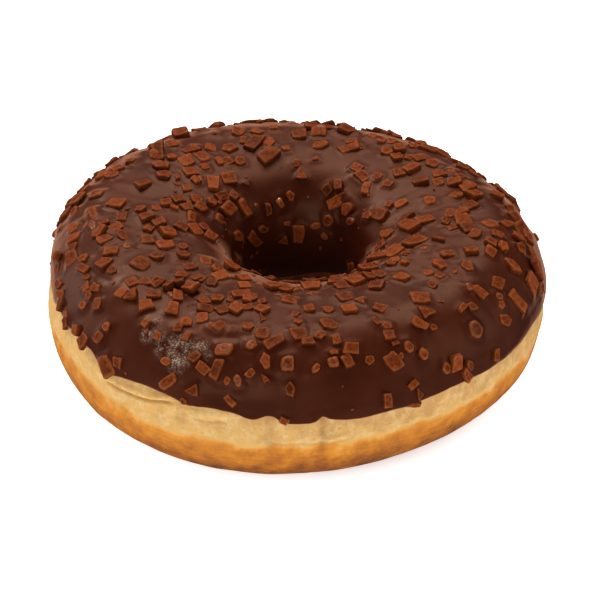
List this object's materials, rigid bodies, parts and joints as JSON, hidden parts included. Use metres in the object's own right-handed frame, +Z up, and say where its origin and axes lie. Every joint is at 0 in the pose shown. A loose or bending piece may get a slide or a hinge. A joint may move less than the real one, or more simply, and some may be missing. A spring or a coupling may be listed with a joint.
{
  "type": "doughnut",
  "caption": "Ring doughnut with a hole through its middle, a smooth cap of dark chocolate icing over its upper half and small chocolate pieces scattered on the icing.",
  "frame": {"origin": "middle of the footprint on the surface that the doughnut lies on", "axes": "+Z up along the axis of the hole, +X to the viewer's right, and +Y away from the viewer"},
  "size_m": [0.0935, 0.0904, 0.0334],
  "materials": {
    "golden_dough": "matte",
    "chocolate_icing": "satin",
    "milk_chocolate": "satin"
  },
  "bodies": {
    "root": {"dough_ring": "golden_dough", "chocolate_icing": "chocolate_icing"}
  },
  "joints": []
}
